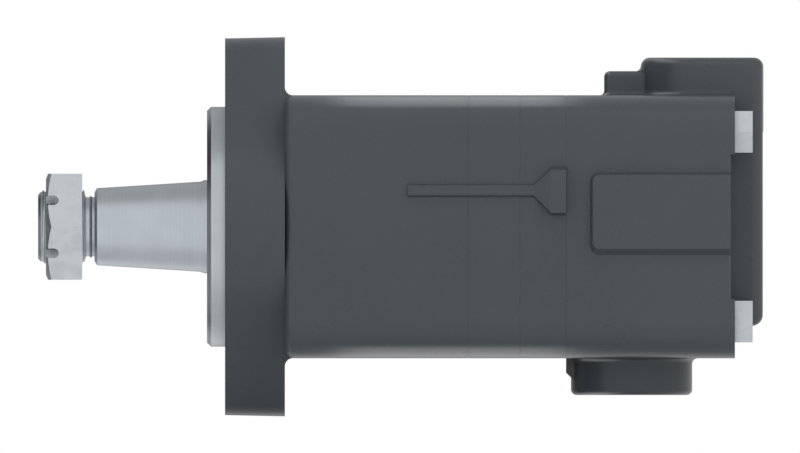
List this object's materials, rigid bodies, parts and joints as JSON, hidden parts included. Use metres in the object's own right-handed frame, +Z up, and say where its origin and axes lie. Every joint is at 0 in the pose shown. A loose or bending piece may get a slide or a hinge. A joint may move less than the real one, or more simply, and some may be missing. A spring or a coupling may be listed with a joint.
{
  "type": "orbital hydraulic motor",
  "caption": "Orbital hydraulic motor with a square cast body, a two-bolt pilot flange, a tapered keyed output shaft with a slotted nut, and opposed round port bosses.",
  "frame": {"origin": "where the shaft's axis meets the flange's mounting face", "axes": "+X along the shaft's axis from the shaft end to the rear, +Z up towards the upper port, -Y towards the side with the cast rib and pad"},
  "size_m": [0.2495, 0.0979, 0.1304],
  "materials": {
    "housing_paint": "slate grey enamel on cast iron",
    "machined_steel": "ground steel",
    "bearing_steel": "polished bearing steel",
    "seal_rubber": "matt nitrile rubber",
    "plated_fasteners": "bright zinc plate",
    "cage_plastic": "natural glass-filled polyamide"
  },
  "bodies": {
    "housing": {"bearing_housing": "housing_paint", "geroler_ring": "housing_paint", "valve_plate": "housing_paint", "valve_housing": "housing_paint", "housing_bolts": "plated_fasteners", "drain_plug": "plated_fasteners", "wear_plate": "machined_steel", "balance_ring": "machined_steel", "balance_spring": "bearing_steel", "seal_backup_washer": "bearing_steel", "front_bearing_race": "bearing_steel", "rear_bearing_race": "bearing_steel", "thrust_washer_front": "bearing_steel", "thrust_washer_rear": "bearing_steel", "shaft_end_washer": "bearing_steel", "dust_seal": "seal_rubber", "shaft_seal": "seal_rubber", "balance_outer_seal": "seal_rubber", "balance_inner_seal": "seal_rubber", "front_body_seal": "seal_rubber", "middle_body_seal": "seal_rubber", "rear_body_seal": "seal_rubber", "drain_plug_seal": "seal_rubber"},
    "shaft": {"output_shaft": "machined_steel", "shaft_key": "machined_steel", "shaft_nut": "plated_fasteners"},
    "front_cage": {"front_bearing_cage": "cage_plastic", "front_bearing_rollers": "bearing_steel"},
    "rear_cage": {"rear_bearing_cage": "cage_plastic", "rear_bearing_rollers": "bearing_steel"},
    "thrust_bearing": {"thrust_cage": "cage_plastic", "thrust_needles": "bearing_steel"},
    "orbiting_spacer": {"link_spacer": "machined_steel"},
    "rotor": {"rotor": "machined_steel"},
    "drive_link": {"drive_link": "machined_steel"},
    "valve_drive": {"valve_drive": "machined_steel"},
    "valve_disc": {"valve_disc": "machined_steel"},
    "stator_roller_1": {"stator_roller_1": "bearing_steel"},
    "stator_roller_2": {"stator_roller_2": "bearing_steel"},
    "stator_roller_3": {"stator_roller_3": "bearing_steel"},
    "stator_roller_4": {"stator_roller_4": "bearing_steel"},
    "stator_roller_5": {"stator_roller_5": "bearing_steel"},
    "stator_roller_6": {"stator_roller_6": "bearing_steel"},
    "stator_roller_7": {"stator_roller_7": "bearing_steel"}
  },
  "joints": [
    {"name": "shaft_spin", "type": "hinge", "parent": "housing", "child": "shaft", "pos_m": [0, 0, 0], "axis": [1, 0, 0], "continuous": true},
    {"name": "front_cage_spin", "type": "hinge", "parent": "housing", "child": "front_cage", "pos_m": [0, 0, 0], "axis": [1, 0, 0], "continuous": true},
    {"name": "rear_cage_spin", "type": "hinge", "parent": "housing", "child": "rear_cage", "pos_m": [0, 0, 0], "axis": [1, 0, 0], "continuous": true},
    {"name": "thrust_cage_spin", "type": "hinge", "parent": "housing", "child": "thrust_bearing", "pos_m": [0, 0, 0], "axis": [1, 0, 0], "continuous": true},
    {"name": "rotor_orbit", "type": "hinge", "parent": "housing", "child": "orbiting_spacer", "pos_m": [0, 0, 0], "axis": [1, 0, 0], "continuous": true},
    {"name": "rotor_spin", "type": "hinge", "parent": "orbiting_spacer", "child": "rotor", "pos_m": [0, 0, -0.0028], "axis": [1, 0, 0], "continuous": true},
    {"name": "drive_link_spin", "type": "hinge", "parent": "orbiting_spacer", "child": "drive_link", "pos_m": [0.046, 0, 0], "axis": [0.9978, 0, -0.0664], "continuous": true},
    {"name": "valve_drive_spin", "type": "hinge", "parent": "orbiting_spacer", "child": "valve_drive", "pos_m": [0.12259, 0, 0], "axis": [0.994, 0, 0.109], "continuous": true},
    {"name": "valve_disc_spin", "type": "hinge", "parent": "housing", "child": "valve_disc", "pos_m": [0, 0, 0], "axis": [1, 0, 0], "continuous": true},
    {"name": "stator_roller_1_spin", "type": "hinge", "parent": "housing", "child": "stator_roller_1", "pos_m": [0, 0, 0.03], "axis": [1, 0, 0], "continuous": true},
    {"name": "stator_roller_2_spin", "type": "hinge", "parent": "housing", "child": "stator_roller_2", "pos_m": [0, -0.02345, 0.0187], "axis": [1, 0, 0], "continuous": true},
    {"name": "stator_roller_3_spin", "type": "hinge", "parent": "housing", "child": "stator_roller_3", "pos_m": [0, -0.02925, -0.00668], "axis": [1, 0, 0], "continuous": true},
    {"name": "stator_roller_4_spin", "type": "hinge", "parent": "housing", "child": "stator_roller_4", "pos_m": [0, -0.01302, -0.02703], "axis": [1, 0, 0], "continuous": true},
    {"name": "stator_roller_5_spin", "type": "hinge", "parent": "housing", "child": "stator_roller_5", "pos_m": [0, 0.01302, -0.02703], "axis": [1, 0, 0], "continuous": true},
    {"name": "stator_roller_6_spin", "type": "hinge", "parent": "housing", "child": "stator_roller_6", "pos_m": [0, 0.02925, -0.00668], "axis": [1, 0, 0], "continuous": true},
    {"name": "stator_roller_7_spin", "type": "hinge", "parent": "housing", "child": "stator_roller_7", "pos_m": [0, 0.02345, 0.0187], "axis": [1, 0, 0], "continuous": true}
  ],
  "couplings": [
    {"joint": "front_cage_spin", "follows": "shaft_spin", "ratio": 0.4478},
    {"joint": "rear_cage_spin", "follows": "shaft_spin", "ratio": 0.44928},
    {"joint": "thrust_cage_spin", "follows": "shaft_spin", "ratio": 0.5},
    {"joint": "rotor_orbit", "follows": "shaft_spin", "ratio": -6},
    {"joint": "rotor_spin", "follows": "shaft_spin", "ratio": 7},
    {"joint": "drive_link_spin", "follows": "shaft_spin", "ratio": 7},
    {"joint": "valve_drive_spin", "follows": "shaft_spin", "ratio": 7},
    {"joint": "valve_disc_spin", "follows": "shaft_spin", "ratio": 1}
  ]
}
